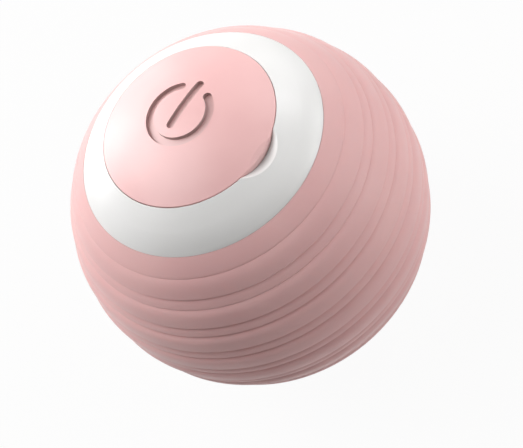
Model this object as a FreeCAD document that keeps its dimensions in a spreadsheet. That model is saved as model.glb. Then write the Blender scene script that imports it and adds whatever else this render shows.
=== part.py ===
# Self-rolling cat ball, in millimetres.
# The origin is the centre of the ball. +Z runs up the axis of the round power cap.
# +Y is the top of the power sign, and +X points at the nail notch beside the cap.
# The shells, the board, the battery and the motor stay together.
# A geared eccentric weight turns about the Z axis below them and makes the ball roll.
import FreeCAD, Part
import math
import os
import Sketcher
from types import SimpleNamespace
from FreeCAD import Placement, Rotation, Vector

# Driving dimensions. Angles are in degrees, and a polar angle is measured from the +Z axis.
SIZES = {
    # ball and sleeve
    "ball_radius": 21.5,
    "sleeve_wall": 1.85,
    "sleeve_fit": 0.05,
    "sleeve_edge_gap_angle": 0.03,
    "sleeve_edge_drop": 0.28,
    "smooth_band_angle": 6.7,
    "smooth_band_drop": 0.07,
    "rib_pitch_angle": 10.6,
    "rib_wide_angle": 6.7,
    "rib_crest_angle": 3.0,
    "rib_fall": 0.12,
    "rib_step_angle": 0.35,
    "rib_limit_angle": 160.0,
    "full_depth_ring": 5,
    "groove_deep": 0.46,
    "groove_shallow": 0.4,
    "narrow_rib_drop": 0.12,
    "narrow_crest_angle": 2.4,
    # shells
    "shell_wall": 1.5,
    "lap_height": 1.2,
    "lap_fit": 0.05,
    "crown_width_angle": 14.8,
    "crown_bend_width_angle": 7.1,
    "crown_bend_radius": 7.5,
    "crown_drop": 0.3,
    "crown_round": 0.06,
    "rim_round": 0.05,
    "recess_depth": 4.6,
    "floor_wall": 1.3,
    "scoop_radius": 6.6,
    "scoop_inset": 2.05,
    "scoop_depth": 1.54,
    "boss_inset": 2.5,
    "boss_radius": 2.0,
    "boss_web": 1.0,
    "pivot_height": 2.5,
    "pivot_boss_radius": 2.9,
    # power cap
    "cap_radius": 10.26,
    "cap_fit": 0.06,
    "cap_wall": 1.7,
    "cap_skirt": 1.3,
    "cap_pad_radius": 3.0,
    "cap_round": 0.05,
    "facet_inset": 0.49,
    "facet_drop": 0.45,
    "sign_depth": 0.5,
    "sign_width": 0.97,
    "sign_ring_radius": 3.555,
    "sign_gap_angle": 31.5,
    "sign_bar_low": 2.07,
    "sign_bar_high": 4.5,
    # button and switch
    "button_travel": 0.35,
    "button_rest_gap": 0.05,
    "stem_radius": 2.0,
    "stem_fit": 0.08,
    "stem_flange_radius": 2.7,
    "stem_flange": 0.9,
    "stem_play": 0.05,
    "plunger_radius": 1.1,
    "plunger_fit": 0.05,
    "plunger_proud": 1.85,
    "plunger_sunk": 0.65,
    "switch_width": 4.5,
    "switch_height": 2.5,
    "switch_pin": 0.7,
    # board and what it carries
    "board_gap": 1.88,
    "board_wall": 0.8,
    "board_screw_inset": 2.0,
    "board_boss_radius": 1.6,
    "socket_offset": 5.8,
    "socket_width": 8.94,
    "socket_height": 3.26,
    "socket_wall": 0.3,
    "socket_fit": 0.15,
    "tongue_width": 6.69,
    "tongue_wall": 0.7,
    "tongue_back": 0.6,
    "lamp_inset": 2.4,
    "lamp_length": 3.5,
    "lamp_width": 2.8,
    "lamp_height": 1.4,
    "lamp_lens_radius": 1.1,
    "lamp_lens": 0.5,
    "chip_length": 4.9,
    "chip_width": 3.9,
    "chip_height": 1.5,
    "chip_inset": 6.0,
    # screws
    "screw_radius": 0.7,
    "screw_fit": 0.02,
    "screw_hole_fit": 0.1,
    "screw_head_radius": 1.3,
    "screw_head": 0.75,
    "screw_grip": 4.5,
    "shell_screw_seat": 2.4,
    "shell_screw_head": 0.9,
    # gear train
    "gear_module": 0.4,
    "pressure_angle": 20.0,
    "pinion_teeth": 10,
    "idler_teeth": 30,
    "drive_teeth": 36,
    "gear_shift": 0.4,
    "pinion_addendum": 0.9,
    "wheel_addendum": 1.0,
    "gear_dedendum": 1.25,
    "gear_backlash": 0.08,
    "gear_width": 1.2,
    "gear_gap": 0.3,
    "gear_hub_gap": 0.1,
    "idler_hub_radius": 1.2,
    "drive_hub_radius": 1.7,
    "drive_hub": 1.2,
    "running_fit": 0.05,
    # gear cover
    "cover_wall": 1.0,
    "cover_head_room": 0.9,
    "cover_hub_radius": 4.5,
    "cover_arm": 3.4,
    "cover_lobe_radius": 2.0,
    "post_inset": 3.93,
    "post_radius": 1.4,
    "post_azimuth_1": 100.0,
    "post_azimuth_2": 195.0,
    "post_azimuth_3": 308.0,
    # motor, battery and chassis
    "motor_offset": 5.9,
    "motor_radius": 5.0,
    "motor_flat": 4.0,
    "motor_end": 0.8,
    "motor_nose_radius": 1.6,
    "motor_nose": 0.4,
    "motor_drop": 0.6,
    "motor_fit": 0.15,
    "motor_shaft_radius": 0.5,
    "motor_cage_height": 5.2,
    "motor_cage_wall": 0.85,
    "battery_thick": 6.0,
    "battery_length": 20.0,
    "battery_round": 1.0,
    "battery_offset": 5.0,
    "battery_gap": 0.7,
    "battery_fit": 0.2,
    "foam_wall": 0.6,
    "cage_wall": 0.8,
    "cage_height": 6.2,
    "chassis_edge_gap": 2.73,
    "chassis_wall": 1.2,
    "chassis_gap": 0.3,
    "arm_low_inset": 4.0,
    "arm_high_inset": 2.0,
    "arm_wall": 1.6,
    "ear_level": 2.4,
    "ear_wall": 1.2,
    "ear_width": 3.0,
    "idler_pin_radius": 0.6,
    "idler_pin_sunk": 3.0,
    "idler_column_radius": 1.8,
    # axle, bushes and weight
    "axle_radius": 1.0,
    "axle_fit": 0.03,
    "bush_radius": 1.7,
    "bush_floor": 0.5,
    "pivot_bush": 2.0,
    "floor_boss": 0.6,
    "floor_boss_radius": 3.0,
    "weight_radius": 13.0,
    "weight_height": 5.9,
    "weight_gap": 0.6,
    "weight_hub_radius": 3.0,
    "weight_head_gap": 0.3,
    "weight_foot_gap": 0.4,
    "weight_azimuth": 293.0,
    "set_screw_length": 1.9,
    "set_screw_drop": 2.2,
}

THIRDS = (0, 120, 240)
SHELL_BOSS_AZIMUTH = 90
CHASSIS_BOSS_AZIMUTH = 30


class Size:
    """A length or angle: its value, and the expression on the sheet that gives it."""

    def __init__(self, value, text):
        self.value = value
        self.text = text

    def __add__(self, other):
        other = as_size(other)
        return Size(self.value + other.value, f"({self.text} + {other.text})")

    def __sub__(self, other):
        other = as_size(other)
        return Size(self.value - other.value, f"({self.text} - {other.text})")

    def __mul__(self, other):
        other = as_size(other)
        return Size(self.value * other.value, f"({self.text} * {other.text})")

    def __truediv__(self, other):
        other = as_size(other)
        return Size(self.value / other.value, f"({self.text} / {other.text})")

    def __neg__(self):
        return Size(-self.value, f"(-1 * {self.text})")

    def __rsub__(self, other):
        return as_size(other) - self

    __radd__ = __add__
    __rmul__ = __mul__


def as_size(number):
    return number if isinstance(number, Size) else Size(float(number), f"({number})")


def sine(angle):
    return Size(math.sin(math.radians(angle.value)), f"sin({angle.text})")


def cosine(angle):
    return Size(math.cos(math.radians(angle.value)), f"cos({angle.text})")


def root(square):
    return Size(math.sqrt(square.value), f"sqrt({square.text})")


def angle_from_sine(share):
    return Size(math.degrees(math.asin(share.value)), f"(asin({share.text}) / (1 deg))")


def angle_from_cosine(share):
    return Size(math.degrees(math.acos(share.value)), f"(acos({share.text}) / (1 deg))")


def polar(radius, azimuth):
    """The x and y of a point at a radius and azimuth about the Z axis."""
    azimuth = as_size(azimuth)
    return radius * cosine(azimuth), radius * sine(azimuth)


def on_sphere(radius, angle):
    """The radius and height of a point at a polar angle on a sphere about the origin."""
    return radius * sine(angle), radius * cosine(angle)


def level_on(radius, across):
    """The height at which a sphere about the origin has this radius across."""
    return root(radius * radius - across * across)


doc = FreeCAD.newDocument("cat_ball")


def write_sheet():
    """Put the driving dimensions on the sheet and return them as sizes bound to its cells."""
    sheet = doc.addObject("Spreadsheet::Sheet", "Sizes")
    sizes = {}
    for row, (name, value) in enumerate(SIZES.items(), start=1):
        sheet.set(f"A{row}", name)
        sheet.set(f"B{row}", str(value))
        sheet.setAlias(f"B{row}", name)
    doc.recompute()
    for name in SIZES:
        sizes[name] = Size(float(sheet.get(name)), f"Sizes.{name}")
    return SimpleNamespace(**sizes)


S = write_sheet()


def on_sheet(name, size):
    """Put a worked-out size on the sheet too, and return it under its short name."""
    row = len(doc.Sizes.getUsedCells()) // 2 + 1
    doc.Sizes.set(f"A{row}", name)
    doc.Sizes.set(f"B{row}", "=" + size.text.replace("Sizes.", ""))
    doc.Sizes.setAlias(f"B{row}", name)
    return Size(size.value, f"Sizes.{name}")


# Shared radii and levels, worked out from the driving dimensions.
shell_radius = S.ball_radius - S.sleeve_wall - S.sleeve_fit
shell_inner = shell_radius - S.shell_wall
shell_middle = shell_inner + S.shell_wall / 2
recess_radius = S.cap_radius + S.cap_fit
cap_angle = angle_from_sine(S.cap_radius / S.ball_radius)
crown_angle = on_sheet("crown_angle", cap_angle + S.crown_width_angle)
sleeve_edge_angle = crown_angle + S.sleeve_edge_gap_angle
rib_start_angle = on_sheet("rib_start_angle", sleeve_edge_angle + S.smooth_band_angle)
floor_top = S.ball_radius - S.recess_depth
floor_under = floor_top - S.floor_wall
cap_under = floor_top + S.button_travel + S.button_rest_gap
flange_top = floor_under - S.stem_play
flange_low = flange_top - S.stem_flange
switch_top = flange_low - S.plunger_proud
board_top = switch_top - S.switch_height
board_low = board_top - S.board_wall
cover_high = board_low - S.cover_head_room
cover_low = cover_high - S.cover_wall
drive_high = cover_low - S.gear_gap
drive_low = drive_high - S.gear_width
idler_high = drive_low - S.gear_gap
idler_low = idler_high - S.gear_width
motor_top = idler_low - S.motor_drop
pivot_top = S.pivot_height - shell_inner
pivot_low = pivot_top - S.pivot_bush
axle_low = pivot_low + S.bush_floor + S.running_fit
weight_low = pivot_top + S.weight_foot_gap
weight_high = weight_low + S.weight_height
floor_boss_low = weight_high + S.weight_head_gap
chassis_low = floor_boss_low + S.floor_boss
chassis_top = chassis_low + S.chassis_wall
battery_low = chassis_top + S.foam_wall
battery_top = drive_low - S.battery_gap
boss_circle = shell_inner - S.boss_inset
arm_low_radius = boss_circle - S.arm_low_inset
arm_high_radius = boss_circle - S.arm_high_inset
board_radius = level_on(shell_inner, board_top) - S.board_gap
board_screw_circle = board_radius - S.board_screw_inset
lamp_circle = board_radius - S.lamp_inset
chip_offset = board_radius - S.chip_inset
post_circle = level_on(shell_inner, cover_high) - S.post_inset
chassis_radius = level_on(shell_inner, chassis_low) - S.chassis_edge_gap
pilot_radius = S.screw_radius + S.screw_fit
through_radius = S.screw_radius + S.screw_hole_fit
battery_low_x = -S.battery_offset - S.battery_thick / 2
battery_high_x = -S.battery_offset + S.battery_thick / 2

# Gear centres. The idler stands at the corner of the triangle that both centre distances make.
motor_centre_distance = S.gear_module * (S.pinion_teeth + S.idler_teeth) / 2
drive_centre_distance = S.gear_module * (S.pinion_teeth + S.drive_teeth) / 2
idler_azimuth = angle_from_cosine(
    (
        drive_centre_distance * drive_centre_distance
        + S.motor_offset * S.motor_offset
        - motor_centre_distance * motor_centre_distance
    )
    / (2 * drive_centre_distance * S.motor_offset)
)
idler_x, idler_y = polar(drive_centre_distance, idler_azimuth)
motor_azimuth = math.degrees(math.atan2(-idler_y.value, (S.motor_offset - idler_x).value))
POST_AZIMUTHS = (S.post_azimuth_1, S.post_azimuth_2, S.post_azimuth_3)


# Building blocks. Each one adds an object to the document and binds its sizes to the sheet.


def bind(thing, **sizes):
    for name, size in sizes.items():
        thing.setExpression(name, as_size(size).text)


def place(thing, x=0, y=0, z=0, turn=None):
    """Put a piece at a place, turned about the Z axis."""
    if turn is not None:
        turn = as_size(turn)
        thing.Placement = Placement(Vector(), Rotation(Vector(0, 0, 1), turn.value))
        thing.setExpression("Placement.Rotation.Angle", turn.text)
    for axis, size in zip("xyz", (x, y, z)):
        thing.setExpression(f"Placement.Base.{axis}", as_size(size).text)


def ball(name, radius):
    piece = doc.addObject("Part::Sphere", name)
    bind(piece, Radius=radius)
    return piece


def cylinder(name, radius, low, high, x=0, y=0):
    piece = doc.addObject("Part::Cylinder", name)
    bind(piece, Radius=radius, Height=high - low)
    place(piece, x, y, low)
    return piece


def block(name, low_x, high_x, low_y, high_y, low_z, high_z):
    piece = doc.addObject("Part::Box", name)
    low_x, low_y, low_z = as_size(low_x), as_size(low_y), as_size(low_z)
    bind(piece, Length=high_x - low_x, Width=high_y - low_y, Height=high_z - low_z)
    place(piece, low_x, low_y, low_z)
    return piece


def spoke(name, inner, outer, width, low, high, azimuth):
    """A block that runs outwards from the Z axis at an azimuth."""
    piece = doc.addObject("Part::Box", name)
    inner, azimuth = as_size(inner), as_size(azimuth)
    bind(piece, Length=outer - inner, Width=width, Height=high - low)
    x = inner * cosine(azimuth) + width / 2 * sine(azimuth)
    y = inner * sine(azimuth) - width / 2 * cosine(azimuth)
    place(piece, x, y, low, turn=azimuth)
    return piece


def join(name, *pieces):
    piece = doc.addObject("Part::MultiFuse", name)
    piece.Shapes = list(pieces)
    return piece


def meet(name, *pieces):
    piece = doc.addObject("Part::MultiCommon", name)
    piece.Shapes = list(pieces)
    return piece


def group(name, *pieces):
    """Separate solids kept in one sub-part."""
    piece = doc.addObject("Part::Compound", name)
    piece.Links = list(pieces)
    return piece


def cut(name, base, *tools):
    piece = doc.addObject("Part::Cut", name)
    piece.Base = base
    piece.Tool = tools[0] if len(tools) == 1 else join(f"{name}_cutters", *tools)
    return piece


class Corner:
    """A corner of an outline. With a radius, the edge that leaves it is an arc.
    left: the arc turns left on the way round. far: it is the longer of the two arcs."""

    def __init__(self, x, y, radius=None, left=True, far=False):
        self.x = as_size(x)
        self.y = as_size(y)
        self.radius = radius
        self.left = left
        self.far = far

    def point(self):
        return Vector(self.x.value, self.y.value, 0)


def edge_curve(start, end):
    """The curve from one corner to the next, and which of its ends is the start."""
    first, last = start.point(), end.point()
    if start.radius is None:
        return Part.LineSegment(first, last), 1
    chord = last - first
    radius = start.radius.value
    reach = math.sqrt(max(radius**2 - chord.Length**2 / 4, 0.0))
    side = 1 if start.left != start.far else -1
    normal = Vector(-chord.y, chord.x, 0) / chord.Length
    centre = (first + last) / 2 + normal * side * reach
    angles = [math.atan2(p.y - centre.y, p.x - centre.x) for p in (first, last)]
    circle = Part.Circle(centre, Vector(0, 0, 1), radius)
    if start.left:
        return Part.ArcOfCircle(circle, angles[0], angles[1]), 1
    return Part.ArcOfCircle(circle, angles[1], angles[0]), 2


def draw(body, plane, corners):
    """A closed sketch on one of a body's own planes, with every corner bound to the sheet."""
    sketch = body.newObject("Sketcher::SketchObject", f"{body.Name}_outline")
    origin_plane = [f for f in body.Origin.OriginFeatures if f.Role == plane][0]
    sketch.AttachmentSupport = (origin_plane, [""])
    sketch.MapMode = "FlatFace"
    curves, starts = [], []
    for number, corner in enumerate(corners):
        curve, start = edge_curve(corner, corners[(number + 1) % len(corners)])
        curves.append(curve)
        starts.append(start)
    sketch.addGeometry(curves)
    constraints, bound = [], {}
    for number, corner in enumerate(corners):
        following = (number + 1) % len(corners)
        end = 3 - starts[number]
        here = (number, starts[number])
        constraints.append(
            Sketcher.Constraint("Coincident", number, end, following, starts[following])
        )
        for kind, size, axis in (("DistanceX", corner.x, -2), ("DistanceY", corner.y, -1)):
            if abs(size.value) < 1e-9:
                constraints.append(Sketcher.Constraint("PointOnObject", *here, axis))
                continue
            ends = (-1, 1, *here) if size.value > 0 else (*here, -1, 1)
            bound[len(constraints)] = size if size.value > 0 else -size
            constraints.append(Sketcher.Constraint(kind, *ends, abs(size.value)))
        if corner.radius is not None:
            bound[len(constraints)] = corner.radius
            constraints.append(Sketcher.Constraint("Radius", number, corner.radius.value))
    sketch.addConstraint(constraints)
    for index, size in bound.items():
        sketch.setExpression(f"Constraints[{index}]", size.text)
    return sketch


def revolved(name, corners):
    """A body turned about the Z axis from an outline of radius and height."""
    body = doc.addObject("PartDesign::Body", name)
    sketch = draw(body, "XZ_Plane", corners)
    turned = body.newObject("PartDesign::Revolution", f"{name}_turned")
    turned.Profile = (sketch, [""])
    turned.ReferenceAxis = (sketch, ["V_Axis"])
    turned.Angle = 360
    body.Tip = turned
    return body


def crest_arc(crest_radius, foot_radius, between):
    """The radius of an arc between a crest, where it is level, and a foot this many degrees away.
    Both ends are given by their distance from the origin."""
    foot_height = foot_radius * cosine(between)
    chord_squared = (
        crest_radius * crest_radius + foot_radius * foot_radius - 2 * crest_radius * foot_height
    )
    return chord_squared / (2 * (crest_radius - foot_height))


def slot(name, length, width, low, high, y=0):
    """A flat-sided bar with round ends, long in X."""
    straight, radius = (length - width) / 2, width / 2
    bar = block(f"{name}_bar", -straight, straight, y - radius, y + radius, low, high)
    ends = [
        cylinder(f"{name}_end_{number}", radius, low, high, x, y)
        for number, x in enumerate((straight, -straight), start=1)
    ]
    return join(name, bar, *ends)


# Sleeve and shells.


def groove_share(number):
    """How much of its full depth a groove has. The first ones, near the crown, are shallower."""
    share = as_size(number) / S.full_depth_ring
    return share if share.value < 1 else as_size(1)


def swell(foot_radius, foot_angle, crest_radius, between):
    """A foot, from which the outline swells to a crest this many degrees further on."""
    radius = crest_arc(crest_radius, foot_radius, between)
    return Corner(*on_sphere(foot_radius, foot_angle), radius, left=False)


def fall(crest_radius, crest_angle, foot_radius, between):
    """A crest, from which the outline falls to a foot this many degrees further on."""
    radius = crest_arc(crest_radius, foot_radius, between)
    return Corner(*on_sphere(crest_radius, crest_angle), radius, left=False)


def make_silicone_sleeve():
    """A stretched skin with rings of rib, a wide one and a narrow one by turns.
    Each wide one swells from a crease and ends in a step down to the narrow one."""
    inner = S.ball_radius - S.sleeve_wall
    band = S.ball_radius - S.smooth_band_drop
    band_width = S.smooth_band_angle - S.rib_step_angle
    corners = [
        swell(S.ball_radius - S.sleeve_edge_drop, sleeve_edge_angle, band, band_width),
        Corner(*on_sphere(band, rib_start_angle - S.rib_step_angle)),
    ]
    rings = math.floor(((S.rib_limit_angle - rib_start_angle) / S.rib_pitch_angle).value)
    for ring in range(rings + 1):
        angle = rib_start_angle + S.rib_pitch_angle * ring
        crest = angle + S.rib_crest_angle
        crease_radius = S.ball_radius - S.groove_deep * groove_share(ring + 1)
        corners.append(swell(crease_radius, angle, S.ball_radius, S.rib_crest_angle))
        if ring == rings:
            corners.append(Corner(*on_sphere(S.ball_radius, crest), S.ball_radius, left=False))
            break
        share = groove_share(ring + 2)
        wide_end = angle + S.rib_wide_angle
        wide_end_radius = S.ball_radius - S.rib_fall * share
        fall_angle = S.rib_wide_angle - S.rib_crest_angle
        corners.append(fall(S.ball_radius, crest, wide_end_radius, fall_angle))
        corners.append(Corner(*on_sphere(wide_end_radius, wide_end)))
        foot = wide_end + S.rib_step_angle
        foot_radius = S.ball_radius - S.groove_shallow * share
        narrow_radius = S.ball_radius - S.narrow_rib_drop * share
        narrow_crest = foot + S.narrow_crest_angle
        narrow_end = angle + S.rib_pitch_angle - S.rib_step_angle
        corners.append(swell(foot_radius, foot, narrow_radius, S.narrow_crest_angle))
        corners.append(Corner(*on_sphere(narrow_radius, narrow_crest), narrow_radius, left=False))
        corners.append(Corner(*on_sphere(narrow_radius, narrow_end)))
    corners += [
        Corner(0, -S.ball_radius),
        Corner(0, -inner, inner, left=True),
        Corner(*on_sphere(inner, sleeve_edge_angle)),
    ]
    return revolved("silicone_sleeve", corners)


def wall_bosses(name, azimuth, low):
    """Three posts that hang from the upper wall, each with a web to the wall."""
    pieces = []
    for number, third in enumerate(THIRDS, start=1):
        x, y = polar(boss_circle, azimuth + third)
        pieces.append(
            cylinder(f"{name}_{number}", S.boss_radius, low, shell_middle, x, y)
        )
        web_low = as_size(low) + S.lap_height
        pieces.append(
            spoke(
                f"{name}_web_{number}",
                boss_circle,
                shell_middle,
                S.boss_web,
                web_low,
                web_low + S.screw_grip,
                azimuth + third,
            )
        )
    return meet(name, join(f"{name}_all", *pieces), ball(f"{name}_limit", shell_middle))


def make_upper_shell():
    """The white half: its crown is the ring round the cap, and the rest is under the sleeve."""
    round_level = level_on(S.ball_radius - S.rim_round, recess_radius + S.rim_round)
    reach = S.ball_radius / (S.ball_radius - S.rim_round)
    bend_angle = crown_angle - S.crown_bend_width_angle
    crown_edge = S.ball_radius - S.crown_drop
    round_angle = crown_angle - angle_from_sine(S.crown_round / crown_edge)
    outline = [
        Corner(0, floor_top),
        Corner(recess_radius, floor_top),
        Corner(recess_radius, round_level, S.rim_round, left=False),
        Corner((recess_radius + S.rim_round) * reach, round_level * reach, S.ball_radius, left=False),
        Corner(*on_sphere(S.ball_radius, bend_angle), S.crown_bend_radius, left=False),
        Corner(*on_sphere(crown_edge, round_angle), S.crown_round, left=False),
        Corner(*on_sphere(crown_edge - S.crown_round, crown_angle)),
        Corner(*on_sphere(shell_radius, crown_angle), shell_radius, left=False),
        Corner(shell_radius, 0),
        Corner(shell_middle, 0),
        Corner(shell_middle, S.lap_height),
        Corner(level_on(shell_inner, S.lap_height), S.lap_height, shell_inner, left=True),
        Corner(level_on(shell_inner, floor_under), floor_under),
        Corner(0, floor_under),
    ]
    wall = revolved("upper_wall", outline)
    seam = as_size(0)
    shell_bosses = wall_bosses("shell_boss", SHELL_BOSS_AZIMUTH, seam)
    chassis_bosses = wall_bosses("chassis_boss", CHASSIS_BOSS_AZIMUTH, S.ear_level)
    boss_top = (floor_under + floor_top) / 2
    board_bosses, cutters = [], []
    for number, third in enumerate(THIRDS, start=1):
        x, y = polar(board_screw_circle, CHASSIS_BOSS_AZIMUTH + third)
        board_bosses.append(
            cylinder(f"board_boss_{number}", S.board_boss_radius, board_top, boss_top, x, y)
        )
        pilot_top = board_top + S.screw_grip
        cutters.append(cylinder(f"board_pilot_{number}", pilot_radius, board_top, pilot_top, x, y))
        for name, azimuth, low in (
            ("shell", SHELL_BOSS_AZIMUTH, seam),
            ("chassis", CHASSIS_BOSS_AZIMUTH, S.ear_level),
        ):
            x, y = polar(boss_circle, azimuth + third)
            pilot_top = low + S.screw_grip + S.gear_hub_gap
            cutters.append(cylinder(f"{name}_pilot_{number}", pilot_radius, low, pilot_top, x, y))
    stem_bore = cylinder("stem_bore", S.stem_radius + S.stem_fit, floor_under, floor_top)
    socket_slot = slot(
        "socket_slot",
        S.socket_width + 2 * S.socket_fit,
        S.socket_height + 2 * S.socket_fit,
        floor_under,
        floor_top,
        S.socket_offset,
    )
    scoop = ball("nail_scoop", S.scoop_radius)
    scoop_angle = angle_from_sine((S.cap_radius - S.scoop_inset) / S.ball_radius)
    scoop_x, scoop_z = on_sphere(S.ball_radius + S.scoop_radius - S.scoop_depth, scoop_angle)
    scoop.Placement = Placement(Vector(), Rotation(Vector(1, 0, 0), 90))
    place(scoop, x=scoop_x, z=scoop_z)
    whole = join("upper_whole", wall, shell_bosses, chassis_bosses, *board_bosses)
    return cut("upper_shell", whole, stem_bore, socket_slot, scoop, *cutters)


def make_lower_shell():
    """The hidden half: a bowl with the pivot of the axle and three screw tubes."""
    tongue_high = S.lap_height - S.lap_fit
    outline = [
        Corner(shell_radius, 0, shell_radius, left=False),
        Corner(0, -shell_radius),
        Corner(0, -shell_inner, shell_inner, left=True),
        Corner(shell_inner, 0),
        Corner(shell_inner, tongue_high),
        Corner(shell_middle - S.lap_fit, tongue_high),
        Corner(shell_middle - S.lap_fit, 0),
    ]
    wall = revolved("lower_wall", outline)
    pivot = cylinder("pivot_boss", S.pivot_boss_radius, -shell_middle, pivot_top)
    pocket = cylinder("pivot_pocket", S.bush_radius, pivot_low, pivot_top)
    tubes, cutters = [], [pocket]
    for number, third in enumerate(THIRDS, start=1):
        azimuth = SHELL_BOSS_AZIMUTH + third
        x, y = polar(boss_circle, azimuth)
        tubes.append(cylinder(f"screw_tube_{number}", S.boss_radius, -shell_middle, as_size(0), x, y))
        tubes.append(
            spoke(
                f"tube_web_{number}",
                boss_circle,
                shell_middle,
                S.boss_web,
                -S.lap_height - S.screw_grip,
                -S.lap_height,
                azimuth,
            )
        )
        head_hole = S.screw_head_radius + S.screw_hole_fit
        cutters.append(
            cylinder(f"head_hole_{number}", head_hole, -shell_radius, -S.shell_screw_seat, x, y)
        )
        cutters.append(
            cylinder(f"shank_hole_{number}", through_radius, -S.shell_screw_seat, as_size(0), x, y)
        )
    inside = meet("tubes_inside", join("tubes_all", *tubes), ball("tubes_limit", shell_middle))
    return cut("lower_shell", join("lower_whole", wall, pivot, inside), *cutters)


def screw_set(name, places, seat, head, grip, upwards=True):
    """Pan-head screws, one solid each. The head stands on the far side of its seat."""
    screws = []
    for number, (x, y) in enumerate(places, start=1):
        head_low, head_high = (seat - head, seat) if upwards else (seat, seat + head)
        shank_low, shank_high = (head_low, seat + grip) if upwards else (seat - grip, head_high)
        screws.append(
            join(
                f"{name}_{number}",
                cylinder(f"{name}_head_{number}", S.screw_head_radius, head_low, head_high, x, y),
                cylinder(f"{name}_shank_{number}", S.screw_radius, shank_low, shank_high, x, y),
            )
        )
    return group(name, *screws)


def make_shell_screws():
    places = [polar(boss_circle, SHELL_BOSS_AZIMUTH + third) for third in THIRDS]
    grip = S.shell_screw_seat + S.screw_grip
    return screw_set("shell_screws", places, -S.shell_screw_seat, S.shell_screw_head, grip)


# Cap and button.


def make_power_cap():
    """The pink push cap: a dome on the ball's own surface with a sunk power sign."""
    inner = S.ball_radius - S.cap_wall
    skirt_inner = S.cap_radius - S.cap_skirt
    round_level = level_on(S.ball_radius - S.cap_round, S.cap_radius - S.cap_round)
    reach = S.ball_radius / (S.ball_radius - S.cap_round)
    outline = [
        Corner(0, S.ball_radius, S.ball_radius, left=False),
        Corner((S.cap_radius - S.cap_round) * reach, round_level * reach, S.cap_round, left=False),
        Corner(S.cap_radius, round_level),
        Corner(S.cap_radius, cap_under),
        Corner(skirt_inner, cap_under),
        Corner(skirt_inner, level_on(inner, skirt_inner), inner, left=True),
        Corner(S.cap_pad_radius, level_on(inner, S.cap_pad_radius)),
        Corner(S.cap_pad_radius, cap_under),
        Corner(0, cap_under),
    ]
    dome = revolved("cap_dome", outline)
    return cut("power_cap", dome, make_sign_cutter(), make_facet_cutter())


def make_sign_cutter():
    """A broken ring and a bar with round ends, cut to an even depth below the dome."""
    low, high = floor_top + S.recess_depth / 2, S.ball_radius
    half = S.sign_width / 2
    ring = cylinder("sign_ring_outer", S.sign_ring_radius + half, low, high)
    bind(ring, Angle=360 - 2 * S.sign_gap_angle)
    place(ring, z=low, turn=90 + S.sign_gap_angle)
    open_ring = cut(
        "sign_ring", ring, cylinder("sign_ring_inner", S.sign_ring_radius - half, low, high)
    )
    ends = []
    for number, azimuth in enumerate((90 - S.sign_gap_angle, 90 + S.sign_gap_angle), start=1):
        x, y = polar(S.sign_ring_radius, azimuth)
        ends.append(cylinder(f"sign_ring_end_{number}", half, low, high, x, y))
    bar_low, bar_high = half - S.sign_bar_low, S.sign_bar_high - half
    bar = join(
        "sign_bar",
        block("sign_bar_middle", -half, half, bar_low, bar_high, low, high),
        cylinder("sign_bar_foot", half, low, high, 0, bar_low),
        cylinder("sign_bar_head", half, low, high, 0, bar_high),
    )
    under = ball("sign_floor", S.ball_radius - S.sign_depth)
    return cut("sign_cutter", join("sign", open_ring, *ends, bar), under)


def make_facet_cutter():
    """The slope beside the notch that lets a nail get under the cap's edge."""
    edge = S.cap_radius - S.facet_inset
    top = level_on(S.ball_radius, edge)
    rise = S.facet_drop
    body = doc.addObject("PartDesign::Body", "facet")
    corners = [
        Corner(edge - S.facet_inset, top + rise),
        Corner(S.cap_radius + S.facet_inset, top - 2 * rise),
        Corner(S.cap_radius + S.facet_inset, top + rise),
    ]
    sketch = draw(body, "XZ_Plane", corners)
    pad = body.newObject("PartDesign::Pad", "facet_pad")
    pad.Profile = (sketch, [""])
    pad.Midplane = True
    bind(pad, Length=2 * S.cap_radius)
    body.Tip = pad
    return body


def make_button_stem():
    shaft = cylinder("stem_shaft", S.stem_radius, flange_low, cap_under)
    flange = cylinder("stem_flange_disc", S.stem_flange_radius, flange_low, flange_top)
    return join("button_stem", shaft, flange)


def make_switch_plunger():
    return cylinder("switch_plunger", S.plunger_radius, switch_top - S.plunger_sunk, flange_low)


def make_switch_body():
    """A square push switch with four feet that lie on the board."""
    half = S.switch_width / 2
    body = block("switch_block", -half, half, -half, half, board_top, switch_top)
    foot = S.switch_pin
    feet = [
        block(
            f"switch_foot_{number}",
            side * (half + foot / 2) - foot / 2,
            side * (half + foot / 2) + foot / 2,
            end * half / 2 - foot / 2,
            end * half / 2 + foot / 2,
            board_top,
            board_top + foot / 2,
        )
        for number, (side, end) in enumerate(((1, 1), (1, -1), (-1, 1), (-1, -1)), start=1)
    ]
    bore_low = switch_top - S.plunger_sunk - S.button_travel - S.running_fit
    bore = cylinder("plunger_bore", S.plunger_radius + S.plunger_fit, bore_low, switch_top)
    return cut("switch_body", join("switch_whole", body, *feet), bore)


# Board and what it carries.


def board_screw_places():
    return [polar(board_screw_circle, CHASSIS_BOSS_AZIMUTH + third) for third in THIRDS]


def make_main_board():
    disc = cylinder("board_disc", board_radius, board_low, board_top)
    holes = [
        cylinder(f"board_hole_{number}", through_radius, board_low, board_top, x, y)
        for number, (x, y) in enumerate(board_screw_places(), start=1)
    ]
    return cut("main_board", disc, *holes)


def make_board_screws():
    grip = S.board_wall + S.screw_grip - S.gear_hub_gap
    return screw_set("board_screws", board_screw_places(), board_low, S.screw_head, grip)


def make_usb_socket():
    """The steel shroud of the charging socket, open at its mouth in the recess floor."""
    outer = slot(
        "shroud_outer", S.socket_width, S.socket_height, board_top, floor_top, S.socket_offset
    )
    inner = slot(
        "shroud_inner",
        S.socket_width - 2 * S.socket_wall,
        S.socket_height - 2 * S.socket_wall,
        board_top,
        floor_top,
        S.socket_offset,
    )
    return cut("usb_socket", outer, inner)


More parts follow.
